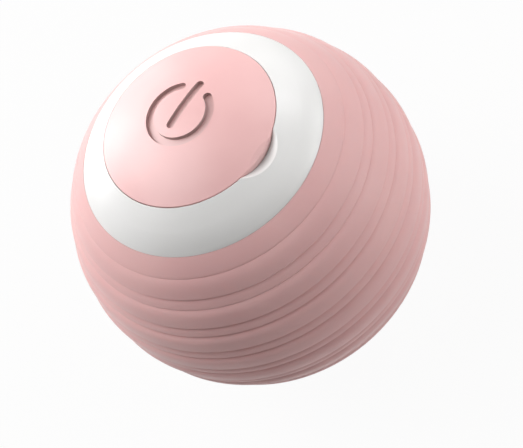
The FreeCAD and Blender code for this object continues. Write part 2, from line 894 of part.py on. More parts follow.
def make_usb_tongue():
    """The plastic back of the socket, with the contact tongue standing on it."""
    fit = S.socket_wall + S.running_fit
    back_high = board_top + S.tongue_back * 2
    back = slot(
        "tongue_base",
        S.socket_width - 2 * fit,
        S.socket_height - 2 * fit,
        board_top,
        back_high,
        S.socket_offset,
    )
    half, thick = S.tongue_width / 2, S.tongue_wall / 2
    tongue = block(
        "tongue_blade",
        -half,
        half,
        S.socket_offset - thick,
        S.socket_offset + thick,
        board_top,
        floor_top - S.tongue_back,
    )
    return join("usb_tongue", back, tongue)


def make_status_leds():
    """Three lamps that glow through the white crown, each with a low lens."""
    lamps = []
    lens_low = board_top + S.lamp_height
    for number, third in enumerate(THIRDS, start=1):
        azimuth = as_size(SHELL_BOSS_AZIMUTH + third)
        inner = lamp_circle - S.lamp_width / 2
        outer = lamp_circle + S.lamp_width / 2
        case = spoke(f"lamp_case_{number}", inner, outer, S.lamp_length, board_top, lens_low, azimuth)
        x, y = polar(lamp_circle, azimuth)
        lens = cylinder(f"lamp_lens_{number}", S.lamp_lens_radius, lens_low, lens_low + S.lamp_lens, x, y)
        lamps.append(join(f"lamp_{number}", case, lens))
    return group("status_leds", *lamps)


def make_control_chip():
    length, width = S.chip_length / 2, S.chip_width / 2
    left, right = -chip_offset - length, length - chip_offset
    return block("control_chip", left, right, -width, width, board_top, board_top + S.chip_height)


# Gear train.


def involute(angle):
    return math.tan(angle) - angle


def gear_face(teeth, shift, addendum, tooth_azimuth, bore):
    """The face of a spur gear about the origin, with one tooth centred on an azimuth.
    Each flank is an arc through three points of its involute, above a radial root."""
    module, pressure = S.gear_module.value, math.radians(S.pressure_angle.value)
    pitch_radius = module * teeth / 2
    base = pitch_radius * math.cos(pressure)
    tip = pitch_radius + module * (addendum + shift)
    foot = pitch_radius - module * (S.gear_dedendum.value - shift)
    low = max(base, foot)
    half_tooth = (math.pi / 2 + 2 * shift * math.tan(pressure)) / teeth + involute(pressure)
    half_tooth -= S.gear_backlash.value / (4 * pitch_radius)

    def at(radius, angle):
        return Vector(radius * math.cos(angle), radius * math.sin(angle), 0)

    def half_angle(radius):
        return half_tooth - involute(math.acos(min(base / radius, 1.0)))

    heights = (low, (low + tip) / 2, tip)
    pitch = 2 * math.pi / teeth
    edges = []
    for number in range(teeth):
        centre = math.radians(tooth_azimuth) + pitch * number
        start, end = centre - half_angle(low), centre + half_angle(low)
        up = [at(radius, centre - half_angle(radius)) for radius in heights]
        down = [at(radius, centre + half_angle(radius)) for radius in reversed(heights)]
        following = start + pitch
        edges += [
            Part.LineSegment(at(foot, start), up[0]),
            Part.Arc(*up),
            Part.Arc(up[-1], at(tip, centre), down[0]),
            Part.Arc(*down),
            Part.LineSegment(down[-1], at(foot, end)),
            Part.Arc(at(foot, end), at(foot, (end + following) / 2), at(foot, following)),
        ]
    rim = Part.Wire([edge.toShape() for edge in edges])
    hole = Part.Wire(Part.Circle(Vector(), Vector(0, 0, 1), bore).toShape())
    return Part.makeFace([rim, hole], "Part::FaceMakerBullseye")


def pinion(tooth_azimuth, bore, low):
    """A small gear, made stronger by a shift outwards."""
    face = gear_face(
        round(S.pinion_teeth.value),
        S.gear_shift.value,
        S.pinion_addendum.value,
        tooth_azimuth,
        bore,
    )
    face.translate(Vector(0, 0, low.value))
    return face.extrude(Vector(0, 0, S.gear_width.value))


def wheel(teeth, tooth_azimuth, bore, low):
    """A large gear, shifted inwards by as much as the pinion that drives it."""
    face = gear_face(teeth, -S.gear_shift.value, S.wheel_addendum.value, tooth_azimuth, bore)
    face.translate(Vector(0, 0, low.value))
    return face.extrude(Vector(0, 0, S.gear_width.value))


def collar(radius, bore, low, high):
    """A ring about the origin, for the hub of a gear."""
    height = (high - low).value
    foot = Vector(0, 0, low.value)
    outer = Part.makeCylinder(radius, height, foot)
    return outer.cut(Part.makeCylinder(bore, height, foot))


def gear_piece(name, shape, x=0, y=0):
    piece = doc.addObject("Part::Feature", name)
    piece.Shape = shape
    place(piece, x, y)
    return piece


def make_motor_pinion():
    """The gap between two of its teeth faces the idler."""
    azimuth = motor_azimuth + 180 + 180 / S.pinion_teeth.value
    return gear_piece(
        "motor_pinion", pinion(azimuth, S.motor_shaft_radius.value, idler_low), S.motor_offset
    )


def make_idler_gear():
    """A large and a small gear in one, loose on a fixed pin."""
    bore = (S.idler_pin_radius + S.running_fit).value
    large = wheel(round(S.idler_teeth.value), motor_azimuth, bore, idler_low)
    small = pinion(idler_azimuth.value + 180, bore, drive_low)
    hub = collar(
        S.idler_hub_radius.value, bore, idler_low - S.gear_hub_gap, cover_low - S.gear_hub_gap
    )
    return gear_piece("idler_gear", large.fuse([small, hub]).removeSplitter(), idler_x, idler_y)


def make_drive_gear():
    """The gear pressed on the axle. The gap between two of its teeth faces the idler."""
    bore = S.axle_radius.value
    teeth = round(S.drive_teeth.value)
    rim = wheel(teeth, idler_azimuth.value + 180 / teeth, bore, drive_low)
    hub = collar(
        S.drive_hub_radius.value, bore, drive_low - S.drive_hub, cover_low - S.gear_hub_gap
    )
    return gear_piece("drive_gear", rim.fuse(hub).removeSplitter())


def make_idler_pin():
    low = idler_low - 2 * S.gear_hub_gap - S.idler_pin_sunk
    return cylinder("idler_pin", S.idler_pin_radius, low, cover_high, idler_x, idler_y)


def make_gear_cover():
    """A flat spider over the gears: it holds the top of the axle and of the idler's pin."""
    hub = cylinder("cover_hub", S.cover_hub_radius, cover_low, cover_high)
    pieces = [hub]
    holes = [cylinder("cover_bore", S.bush_radius, cover_low, cover_high)]
    arms = [(azimuth, post_circle, through_radius) for azimuth in POST_AZIMUTHS]
    arms.append((idler_azimuth, drive_centre_distance, S.idler_pin_radius + S.screw_fit))
    for number, (azimuth, reach, hole) in enumerate(arms, start=1):
        x, y = polar(reach, azimuth)
        pieces.append(spoke(f"cover_arm_{number}", 0, reach, S.cover_arm, cover_low, cover_high, azimuth))
        pieces.append(cylinder(f"cover_lobe_{number}", S.cover_lobe_radius, cover_low, cover_high, x, y))
        holes.append(cylinder(f"cover_hole_{number}", hole, cover_low, cover_high, x, y))
    return cut("gear_cover", join("cover_whole", *pieces), *holes)


def make_gear_cover_screws():
    places = [polar(post_circle, azimuth) for azimuth in POST_AZIMUTHS]
    grip = S.cover_wall + S.screw_grip - S.gear_hub_gap
    return screw_set("gear_cover_screws", places, cover_high, S.screw_head, grip, upwards=False)


# Motor and battery.


def motor_form(name, grow, low, high):
    """A round can with two flats, about the motor's axis."""
    can = cylinder(f"{name}_round", S.motor_radius + grow, low, high, S.motor_offset)
    flat = S.motor_flat + grow
    side = S.motor_radius + grow
    flats = block(
        f"{name}_flats", S.motor_offset - flat, S.motor_offset + flat, -side, side, low, high
    )
    return meet(name, can, flats)


def make_motor_can():
    can = motor_form("can_form", as_size(0), chassis_top + S.motor_end, motor_top)
    nose = cylinder(
        "motor_nose_disc", S.motor_nose_radius, motor_top, motor_top + S.motor_nose, S.motor_offset
    )
    bore = cylinder(
        "can_bore",
        S.motor_shaft_radius + S.running_fit,
        chassis_top + S.motor_end + S.motor_nose,
        motor_top + S.motor_nose,
        S.motor_offset,
    )
    return cut("motor_can", join("can_whole", can, nose), bore)


def make_motor_end_cap():
    return motor_form("motor_end_cap", as_size(0), chassis_top, chassis_top + S.motor_end)


def make_motor_shaft():
    low = chassis_top + S.motor_end + S.motor_nose + S.running_fit
    return cylinder("motor_shaft", S.motor_shaft_radius, low, idler_high, S.motor_offset)


def make_battery_cell():
    """A soft pouch cell with rounded long edges, standing on its side."""
    half = S.battery_length / 2
    cell = block("cell_block", battery_low_x, battery_high_x, -half, half, battery_low, battery_top)
    rounded = doc.addObject("Part::Fillet", "battery_cell")
    rounded.Base = cell
    doc.recompute()
    radius = SIZES["battery_round"]
    upright = [
        (number, radius, radius)
        for number, edge in enumerate(cell.Shape.Edges, start=1)
        if abs(edge.tangentAt(edge.FirstParameter).z) > 0.9
    ]
    rounded.Edges = upright
    return rounded


def make_battery_foam():
    half = S.battery_length / 2 - S.battery_round
    inset = S.battery_round / 2
    return block(
        "battery_foam",
        battery_low_x + inset,
        battery_high_x - inset,
        -half,
        half,
        chassis_top,
        battery_low,
    )


# Chassis.


def make_chassis():
    """The tray that carries the motor, the battery and the gears, on three arms with ears."""
    limit = shell_inner - S.chassis_gap
    floor = cylinder("tray_floor", chassis_radius, chassis_low, chassis_top)
    boss = cylinder("tray_boss", S.floor_boss_radius, floor_boss_low, chassis_top)
    column_top = idler_low - 2 * S.gear_hub_gap
    column = cylinder("idler_column", S.idler_column_radius, chassis_low, column_top, idler_x, idler_y)
    posts, holes = [], []
    for number, azimuth in enumerate(POST_AZIMUTHS, start=1):
        x, y = polar(post_circle, azimuth)
        posts.append(cylinder(f"post_{number}", S.post_radius, chassis_low, cover_low, x, y))
        pilot_low = cover_low - S.screw_grip
        holes.append(cylinder(f"post_pilot_{number}", pilot_radius, pilot_low, cover_low, x, y))
    arms = []
    for number, third in enumerate(THIRDS, start=1):
        azimuth = as_size(CHASSIS_BOSS_AZIMUTH + third)
        x, y = polar(boss_circle, azimuth)
        ear_low = S.ear_level - S.ear_wall
        arms += [
            spoke(
                f"arm_{number}",
                arm_low_radius,
                arm_high_radius,
                S.arm_wall,
                chassis_low,
                S.ear_level,
                azimuth,
            ),
            spoke(
                f"ear_bar_{number}",
                arm_low_radius,
                boss_circle,
                S.ear_width,
                ear_low,
                S.ear_level,
                azimuth,
            ),
            cylinder(f"ear_{number}", S.boss_radius, ear_low, S.ear_level, x, y),
        ]
        holes.append(cylinder(f"ear_hole_{number}", through_radius, ear_low, S.ear_level, x, y))
    holes.append(cylinder("floor_bore", S.bush_radius, floor_boss_low, chassis_top))
    pin_bore = S.idler_pin_radius + S.screw_fit
    pin_low = column_top - S.idler_pin_sunk
    holes.append(cylinder("pin_bore", pin_bore, pin_low, column_top, idler_x, idler_y))
    whole = join("tray_whole", floor, boss, column, *posts, *arms, *battery_cage(), motor_cage())
    inside = meet("tray_inside", whole, ball("tray_limit", limit))
    return cut("chassis", inside, *holes)


def battery_cage():
    """Low walls round the cell: one along its outer side, one at each end, two beside the axle."""
    high = chassis_top + S.cage_height
    outer = battery_low_x - S.battery_fit
    inner = battery_high_x + S.running_fit
    end = S.battery_length / 2 + S.battery_fit
    side = S.battery_length / 3
    walls = [block("cage_side", outer - S.cage_wall, outer, -side, side, chassis_low, high)]
    for number, way in enumerate((1, -1), start=1):
        middle = way * (end + S.cage_wall / 2)
        low_y, high_y = middle - S.cage_wall / 2, middle + S.cage_wall / 2
        left, right = battery_low_x + S.battery_thick / 4, battery_high_x - S.battery_thick / 4
        walls.append(block(f"cage_end_{number}", left, right, low_y, high_y, chassis_low, high))
        stop = way * (S.battery_length / 4)
        low_y, high_y = stop - S.cage_wall, stop + S.cage_wall
        walls.append(
            block(
                f"cage_stop_{number}",
                inner,
                inner + S.cage_wall,
                low_y,
                high_y,
                chassis_low,
                high,
            )
        )
    return walls


def motor_cage():
    """Walls that hug the two round sides and the outer flat of the motor."""
    high = chassis_top + S.motor_cage_height
    outer_radius = S.motor_radius + S.motor_fit + S.motor_cage_wall
    outer = cylinder("motor_cage_round", outer_radius, chassis_low, high, S.motor_offset)
    right = S.motor_offset + S.motor_flat + S.motor_fit + S.motor_cage_wall
    left = S.motor_offset - S.motor_radius / 2
    reach = outer_radius
    part_of = block("motor_cage_side", left, right, -reach, reach, chassis_low, high)
    room = motor_form("motor_room", S.motor_fit, chassis_top, high)
    return cut("motor_cage", meet("motor_cage_whole", outer, part_of), room)


def make_chassis_screws():
    places = [polar(boss_circle, CHASSIS_BOSS_AZIMUTH + third) for third in THIRDS]
    seat = S.ear_level - S.ear_wall
    return screw_set("chassis_screws", places, seat, S.screw_head, S.ear_wall + S.screw_grip)


# Axle, bushes and weight.


def make_main_axle():
    return cylinder("main_axle", S.axle_radius, axle_low, cover_high)


def bush(name, low, high):
    outer = cylinder(f"{name}_outer", S.bush_radius, low, high)
    return cut(name, outer, cylinder(f"{name}_bore", S.axle_radius + S.axle_fit, low, high))


def make_pivot_bush():
    """A cup under the axle that takes its end thrust."""
    outer = cylinder("pivot_bush_outer", S.bush_radius, pivot_low, pivot_top)
    bore_low = pivot_low + S.bush_floor
    bore = cylinder("pivot_bush_bore", S.axle_radius + S.axle_fit, bore_low, pivot_top)
    return cut("pivot_bush", outer, bore)


def make_counterweight():
    """Half a disc of metal trimmed to the round of the shell, on a hub clamped to the axle."""
    half = doc.addObject("Part::Cylinder", "weight_half")
    bind(half, Radius=S.weight_radius, Height=weight_high - weight_low, Angle=180)
    place(half, z=weight_low, turn=-90)
    trimmed = meet("weight_trimmed", half, ball("weight_limit", shell_inner - S.weight_gap))
    hub = cylinder("weight_hub", S.weight_hub_radius, weight_low, weight_high)
    bore = cylinder("weight_bore", S.axle_radius, weight_low, weight_high)
    screw_bore = cross_cylinder("set_screw_bore", pilot_radius, S.weight_hub_radius)
    weight = cut("counterweight", join("weight_whole", trimmed, hub), bore, screw_bore)
    place(weight, turn=S.weight_azimuth)
    return weight


def cross_cylinder(name, radius, length):
    """A cylinder that runs from the Z axis towards -X at the level of the set screw."""
    piece = doc.addObject("Part::Cylinder", name)
    bind(piece, Radius=radius, Height=length)
    piece.Placement = Placement(Vector(), Rotation(Vector(0, 1, 0), -90))
    place(piece, z=weight_high - S.set_screw_drop)
    return piece


def make_weight_screw():
    """The headless screw that bears on the axle through the hub."""
    whole = cross_cylinder("set_screw_whole", S.screw_radius, S.axle_radius + S.set_screw_length)
    axle = cylinder("set_screw_limit", S.axle_radius, weight_low, weight_high)
    screw = cut("weight_screw", whole, axle)
    place(screw, turn=S.weight_azimuth)
    return screw


PIECES = [
    make_silicone_sleeve(),
    make_upper_shell(),
    make_lower_shell(),
    make_shell_screws(),
    make_power_cap(),
    make_button_stem(),
    make_switch_plunger(),
    make_switch_body(),
    make_main_board(),
    make_board_screws(),
    make_usb_socket(),
    make_usb_tongue(),
    make_status_leds(),
    make_control_chip(),
    make_gear_cover(),
    make_gear_cover_screws(),
    bush("cover_bush", cover_low, cover_high),
    make_drive_gear(),
    make_idler_gear(),
    make_idler_pin(),
    make_motor_pinion(),
    make_motor_shaft(),
    make_motor_can(),
    make_motor_end_cap(),
    make_battery_cell(),
    make_battery_foam(),
    make_chassis(),
    make_chassis_screws(),
    bush("floor_bush", floor_boss_low, chassis_top),
    make_main_axle(),
    make_counterweight(),
    make_weight_screw(),
    make_pivot_bush(),
]


def check():
    """Every object must have recomputed, and every sub-part must be a sound solid."""
    for thing in doc.Objects:
        faults = [state for state in thing.State if state in ("Invalid", "Error")]
        if faults:
            raise RuntimeError(f"{thing.Label} is {faults}")
    for piece in PIECES:
        shape = piece.Shape
        if shape.isNull() or not shape.isValid() or not shape.Solids or shape.Volume <= 0:
            raise RuntimeError(f"{piece.Label} has no sound solid")


def export():
    os.makedirs("parts", exist_ok=True)
    for piece in PIECES:
        piece.Shape.exportStep(f"parts/{piece.Label}.step")
        print(f"{piece.Label}: {len(piece.Shape.Solids)} solid, {piece.Shape.Volume:.1f} mm3")


doc.recompute()
check()
export()
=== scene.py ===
import math

import bmesh
import bpy
from mathutils import Matrix, Vector


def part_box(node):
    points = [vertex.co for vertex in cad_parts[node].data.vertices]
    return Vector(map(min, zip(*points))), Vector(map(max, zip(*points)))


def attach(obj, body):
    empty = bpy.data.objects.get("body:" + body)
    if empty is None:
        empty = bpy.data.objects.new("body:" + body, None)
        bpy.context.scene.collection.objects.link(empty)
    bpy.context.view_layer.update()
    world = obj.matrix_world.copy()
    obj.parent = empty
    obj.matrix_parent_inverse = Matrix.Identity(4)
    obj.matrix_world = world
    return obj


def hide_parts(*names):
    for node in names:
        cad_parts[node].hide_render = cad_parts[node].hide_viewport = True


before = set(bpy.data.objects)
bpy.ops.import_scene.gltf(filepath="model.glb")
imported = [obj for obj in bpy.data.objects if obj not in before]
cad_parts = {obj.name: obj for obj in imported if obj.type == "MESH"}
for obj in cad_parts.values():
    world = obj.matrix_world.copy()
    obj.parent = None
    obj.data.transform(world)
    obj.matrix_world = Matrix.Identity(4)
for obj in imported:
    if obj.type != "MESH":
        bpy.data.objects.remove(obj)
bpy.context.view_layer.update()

MM = 0.001

# Sizes read from the frame.
BALL = -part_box("silicone_sleeve")[0].z
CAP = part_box("power_cap")[1].y
CAP_ANGLE = math.asin(CAP / BALL)

# Sizes of the sleeve, in metres, and in radians from the +Z axis.
SLEEVE_WALL = 1.85 * MM
SLEEVE_EDGE = CAP_ANGLE + math.radians(14.83)
SLEEVE_EDGE_DROP = 0.28 * MM
SMOOTH_BAND = math.radians(6.7)
SMOOTH_BAND_DROP = 0.11 * MM
RIB_PITCH = math.radians(10.6)
RIB_COUNT = 10
WIDE_RIB = math.radians(6.7)
WIDE_RIB_CREST = math.radians(3.0)
WIDE_RIB_FALL = 0.1 * MM
RIB_STEP = math.radians(0.35)
FULL_DEPTH_RING = 5
FIRST_RING_HEAD_START = 0.5
DEEP_GROOVE = 0.6 * MM
STEP_DEPTH = 0.4 * MM
NARROW_RIB_DROP = 0.17 * MM
NARROW_RIB_CREST = math.radians(2.4)
SOFT_EDGE = 0.012 * MM

# How many steps each part of the sleeve's outline has, and how many make its full turn.
BAND_STEPS = 10
EDGE_STEPS = 3
SWELL_STEPS = 6
FALL_STEPS = 4
NARROW_STEPS = 5
NARROW_FLAT_STEPS = 2
FOOT_STEPS = 14
INSIDE_STEPS = 40
TURN_STEPS = 240

# Mesh corners nearer than this are one, and faces that meet at this angle or more stay sharp.
SAME_CORNER = 0.002 * MM
HARD_EDGE = math.radians(14)

# The cap's rim lies below one height and its sunk sign above the other. The white shell's
# notch lies past the second of two places along +X.
RIM_TOP = BALL - 1.8 * MM
SIGN_FOOT = BALL - 1.4 * MM
NOTCH_NEAR = 8 * MM
NOTCH_THERE = 10 * MM

# How far a surface looks out of the ball, from 1, straight out: a groove's floor and its wall.
FACING_OUT = 0.8
FACING_ASIDE = 0.3

# The photograph's camera. It stands 8 ball radii away and looks at the cap from the side.
PHOTO_WIDTH = 523
CAMERA_BACK = Vector((0.5448, -0.2369, 0.8043)).normalized()
CAMERA_UP = Vector((-0.339, 0.815, 0.470))
CAMERA_RIGHT = CAMERA_UP.cross(CAMERA_BACK).normalized()
CAMERA_REACH = 8 * BALL
CAMERA_LENS = 98.46
BALL_LEFT_OF_MIDDLE = 11.0
BALL_ABOVE_MIDDLE = 18.6
NEAREST_SEEN = 0.005
FURTHEST_SEEN = 10

# The floor shows the camera this share of plain white. The rest is lit, and takes the shadow.
FLOOR_GLOW = 0.95
FLOOR_REACH = 8
FLOOR_GAP = 0.05 * MM
WORLD_STRENGTH = 0.05

# Each lamp's way from the ball to the camera's right, up and back, then its distance and its
# width in metres, and its power in watts. All of them stand above the floor.
LAMPS = {
    "left_box": (-0.87, 0.45, 0.15, 0.34, 0.20, 0.31),
    "left_rim_box": (-0.9, 0.3, -0.25, 0.40, 0.20, 0.32),
    "front_box": (-0.75, 0.35, 0.55, 0.40, 0.30, 0.95),
    "right_box": (0.888, 0.25, 0.35, 0.50, 0.12, 0.55),
    "right_far_box": (0.769, 0.636, 0.175, 0.50, 0.20, 0.36),
    "right_front_box": (0.6, 0.3, 0.7, 0.40, 0.30, 0.28),
    "top_box": (0.2, 0.95, 0.0, 0.40, 0.25, 0.22),
    "glint_box": (0.28, 0.88, 0.38, 0.40, 0.12, 0.18),
    "back_box": (-0.75, 0.6, -0.3, 0.40, 0.30, 0.56),
}


# Mesh tools.


def around(radius, angle):
    """A point on the outline, at a radius and an angle from the +Z axis."""
    return Vector((radius * math.sin(angle), 0, radius * math.cos(angle)))


class Outline:
    """A chain of edges in the XZ plane, drawn from its last corner on."""

    def __init__(self, start):
        self.mesh = bmesh.new()
        self.last = self.mesh.verts.new(start)

    def line(self, point):
        made = bmesh.ops.extrude_vert_indiv(self.mesh, verts=[self.last])
        self.last = made["verts"][0]
        self.last.co = point

    def arc(self, centre, angle, steps):
        """Turns the last corner about a centre, clockwise as seen with +X to the right."""
        made = bmesh.ops.spin(
            self.mesh, geom=[self.last], cent=centre, axis=(0, 1, 0), angle=angle, steps=steps
        )
        self.last = next(v for v in made["geom_last"] if isinstance(v, bmesh.types.BMVert))

    def bulge(self, point, rise, steps):
        """An arc to a point. Its middle stands this far above its chord, or below it."""
        chord = point - self.last.co
        radius = (chord.length_squared / 4 + rise**2) / (2 * rise)
        outward = Vector((-chord.z, 0, chord.x)).normalized()
        centre = (self.last.co + point) / 2 - outward * (radius - rise)
        self.arc(centre, 2 * math.asin(chord.length / 2 / radius), steps)
        self.last.co = point

    def turned(self):
        """The skin that the outline makes when it is turned about the Z axis."""
        everything = self.mesh.verts[:] + self.mesh.edges[:]
        bmesh.ops.spin(
            self.mesh,
            geom=everything,
            cent=(0, 0, 0),
            axis=(0, 0, 1),
            angle=math.tau,
            steps=TURN_STEPS,
            use_merge=True,
        )
        bmesh.ops.remove_doubles(self.mesh, verts=self.mesh.verts, dist=SAME_CORNER)
        on_axis = [edge for edge in self.mesh.edges if not edge.link_faces]
        bmesh.ops.delete(self.mesh, geom=on_axis, context="EDGES")
        bmesh.ops.recalc_face_normals(self.mesh, faces=self.mesh.faces)
        return self.mesh


def soften(mesh):
    """Shades a mesh smooth, with a hard line where two faces meet at a marked angle."""
    for face in mesh.faces:
        face.smooth = True
    for edge in mesh.edges:
        edge.smooth = edge.calc_face_angle(0) < HARD_EDGE


def linked(name, data):
    """A new object of the scene, at the origin."""
    made = bpy.data.objects.new(name, data)
    bpy.context.scene.collection.objects.link(made)
    return made


def finished(name, mesh, material):
    """Turns a bmesh into an object of one material."""
    data = bpy.data.meshes.new(name)
    mesh.to_mesh(data)
    mesh.free()
    data.materials.append(material)
    return linked(name, data)


# Material tools.


def paint(code):
    """An sRGB hex colour as linear red, green and blue."""
    parts = [int(code[i : i + 2], 16) / 255 for i in (1, 3, 5)]
    return [p / 12.92 if p <= 0.04045 else ((p + 0.055) / 1.055) ** 2.4 for p in parts] + [1.0]


def add(material, kind, links=None, **settings):
    """Adds a node to a material or world. Each entry of links is a value for one socket, or
    another node's output, or another node, whose first output is then meant."""
    made = material.node_tree.nodes.new("ShaderNode" + kind)
    for name, value in settings.items():
        setattr(made, name, value)
    for socket, value in (links or {}).items():
        if isinstance(value, bpy.types.Node):
            value = value.outputs[0]
        if isinstance(value, bpy.types.NodeSocket):
            material.node_tree.links.new(value, made.inputs[socket])
        else:
            made.inputs[socket].default_value = value
    return made


def fresh(name):
    """An empty material and the coordinates of its object."""
    material = bpy.data.materials.new(name)
    material.use_nodes = True
    material.node_tree.nodes.clear()
    place = add(material, "TexCoord").outputs["Object"]
    return material, place


def surface(material, links):
    """Ends a material with a shader that has these settings."""
    add(material, "OutputMaterial", {"Surface": add(material, "BsdfPrincipled", links)})
    return material


def grain(material, place, size, detail=2.0, stretch=None):
    """Noise whose patches are about this large, in metres."""
    if stretch:
        place = add(material, "Mapping", {"Vector": place, "Scale": stretch})
    return add(material, "TexNoise", {"Vector": place, "Scale": 1 / size, "Detail": detail})


def blend(material, amount, dark, light, low=0.3, high=0.7):
    """A colour between two, by how an amount lies between two levels."""
    share = add(material, "MapRange", {"Value": amount, "From Min": low, "From Max": high})
    return add(material, "MixRGB", {"Fac": share, "Color1": paint(dark), "Color2": paint(light)})


def depth(material, place, shallow, deep):
    """0 at one depth under the round outside of the ball, and 1 at the other."""
    radius = add(material, "VectorMath", {"Vector": place}, operation="LENGTH").outputs["Value"]
    limits = {"Value": radius, "From Min": BALL - shallow, "From Max": BALL - deep}
    return add(material, "MapRange", limits)


def beyond(material, place, axis, start, full):
    """0 up to one place along an axis of the object, and 1 from the other on."""
    along = add(material, "SeparateXYZ", {"Vector": place}).outputs[axis]
    return add(material, "MapRange", {"Value": along, "From Min": start, "From Max": full})


def sideways(material, place):
    """0 where the surface faces out of the ball, and 1 where it is a groove's wall."""
    outwards = add(material, "VectorMath", {0: place}, operation="NORMALIZE")
    faces = {0: add(material, "TexCoord").outputs["Normal"], 1: outwards}
    facing = add(material, "VectorMath", faces, operation="DOT_PRODUCT").outputs["Value"]
    limits = {"Value": facing, "From Min": FACING_OUT, "From Max": FACING_ASIDE}
    return add(material, "MapRange", limits)


# Materials.


def silicone_rubber():
    """Platinum silicone, moulded in a sand-blasted tool: a soft, dry sheen with no hard glint.
    The tool's grit is finer than a pixel, so it is drawn at 0.12 mm, where it just shows.
    Each crease is painted a darker pink as it deepens: painted shade."""
    material, place = fresh("silicone_rubber")
    patches = grain(material, place, 9 * MM)
    pits = grain(material, place, 0.12 * MM, detail=3.0)
    pink = blend(material, patches, "#E9B7B6", "#EDBDBB")
    # Painted shade: the pink darkens towards #CE9C9A as the skin sinks into each crease.
    crease_shade = depth(material, place, shallow=0.28 * MM, deep=DEEP_GROOVE)
    colours = {"Fac": crease_shade, "Color1": pink, "Color2": paint("#CE9C9A")}
    return surface(
        material,
        {
            "Base Color": add(material, "MixRGB", colours),
            "Roughness": add(material, "MapRange", {"Value": pits, "To Min": 0.5, "To Max": 0.62}),
            "IOR": 1.41,
            "Subsurface Weight": 0.12,
            "Subsurface Radius": (1.2 * MM, 0.6 * MM, 0.5 * MM),
            "Subsurface Scale": 1.0,
            "Sheen Weight": 0.25,
            "Sheen Roughness": 0.4,
            "Normal": add(material, "Bump", {"Height": pits, "Distance": 0.012 * MM}),
        },
    )


def satin_abs(name, dark, light, sunk=None, wall_shade=None):
    """ABS moulded in a spark-eroded tool: an even fine grain that spreads the highlights. Like
    the silicone's, it is drawn a little coarse. Given the two shade colours, it gets painted
    shade: darker below the outside, as in a sunk sign, and darker still on the sign's walls, so
    that they draw it with a dark line."""
    material, place = fresh(name)
    patches = grain(material, place, 7 * MM)
    pits = grain(material, place, 0.16 * MM, detail=3.0)
    colour = blend(material, patches, dark, light)
    # Painted shade: below the outside the colour darkens to the sunk colour, and the sign's
    # sideways walls darken further to the wall colour.
    if sunk:
        depth_shade = depth(material, place, shallow=0.1 * MM, deep=0.45 * MM)
        colour = add(material, "MixRGB", {"Fac": depth_shade, "Color1": colour, "Color2": paint(sunk)})
        sign = beyond(material, place, "Z", start=RIM_TOP, full=SIGN_FOOT)
        factors = {0: sideways(material, place), 1: sign}
        walls = add(material, "Math", factors, operation="MULTIPLY")
        colour = add(material, "MixRGB", {"Fac": walls, "Color1": colour, "Color2": paint(wall_shade)})
    return surface(
        material,
        {
            "Base Color": colour,
            "Roughness": add(material, "MapRange", {"Value": pits, "To Min": 0.36, "To Max": 0.48}),
            "IOR": 1.53,
            "Coat Weight": 0.3,
            "Coat Roughness": 0.3,
            "Normal": add(material, "Bump", {"Height": pits, "Distance": 0.01 * MM}),
        },
    )


def gloss_abs():
    """White ABS from a polished tool: bright, with a faint orange-peel in its reflections.
    The notch, sunk below the polished outside, gets painted shade: it turns greyer as it deepens."""
    material, place = fresh("gloss_abs")
    patches = grain(material, place, 10 * MM)
    peel = grain(material, place, 1.6 * MM, detail=1.0)
    white = blend(material, patches, "#EFEEEC", "#F2F1F0")
    # Painted shade: past NOTCH_NEAR along +X, the white turns towards #ACAEAD grey as the surface
    # sinks below the outside.
    sunk = depth(material, place, shallow=0.2 * MM, deep=0.9 * MM)
    near_notch = beyond(material, place, "X", start=NOTCH_NEAR, full=NOTCH_THERE)
    notch = add(material, "Math", {0: sunk, 1: near_notch}, operation="MULTIPLY")
    colours = {"Fac": notch, "Color1": white, "Color2": paint("#ACAEAD")}
    return surface(
        material,
        {
            "Base Color": add(material, "MixRGB", colours),
            "Roughness": add(material, "MapRange", {"Value": peel, "To Min": 0.3, "To Max": 0.38}),
            "IOR": 1.53,
            "Coat Weight": 0.2,
            "Coat Roughness": 0.25,
            "Normal": add(material, "Bump", {"Height": peel, "Distance": 0.004 * MM}),
        },
    )


def natural_nylon():
    """Unfilled nylon, cut and tumbled: milky and slightly waxy."""
    material, place = fresh("natural_nylon")
    clouds = grain(material, place, 2 * MM)
    cuts = grain(material, place, 0.1 * MM)
    return surface(
        material,
        {
            "Base Color": blend(material, clouds, "#DCD8C8", "#EAE7DB"),
            "Roughness": add(
                material, "MapRange", {"Value": clouds, "To Min": 0.35, "To Max": 0.5}
            ),
            "IOR": 1.53,
            "Normal": add(material, "Bump", {"Height": cuts, "Distance": 0.004 * MM}),
        },
    )


def turned_metal(name, dark, light, smooth=0.22, rough=0.34):
    """Metal cut on a lathe: fine rings about the axis that stretch each glint."""
    material, place = fresh(name)
    rings = grain(material, place, 0.12 * MM, stretch=(0.2, 0.2, 4.0))
    return surface(
        material,
        {
            "Base Color": blend(material, rings, dark, light),
            "Metallic": 1.0,
            "Roughness": add(
                material, "MapRange", {"Value": rings, "To Min": smooth, "To Max": rough}
            ),
            "Normal": add(material, "Bump", {"Height": rings, "Distance": 0.003 * MM}),
        },
    )


def drawn_steel():
    """Tinned sheet steel, drawn in a press: straight rubbed lines along its height."""
    material, place = fresh("drawn_steel")
    lines = grain(material, place, 0.1 * MM, stretch=(3.0, 3.0, 0.15))
    return surface(
        material,
        {
            "Base Color": blend(material, lines, "#A9ABAE", "#C4C6C8"),
            "Metallic": 1.0,
            "Roughness": add(material, "MapRange", {"Value": lines, "To Min": 0.25, "To Max": 0.4}),
            "Normal": add(material, "Bump", {"Height": lines, "Distance": 0.003 * MM}),
        },
    )


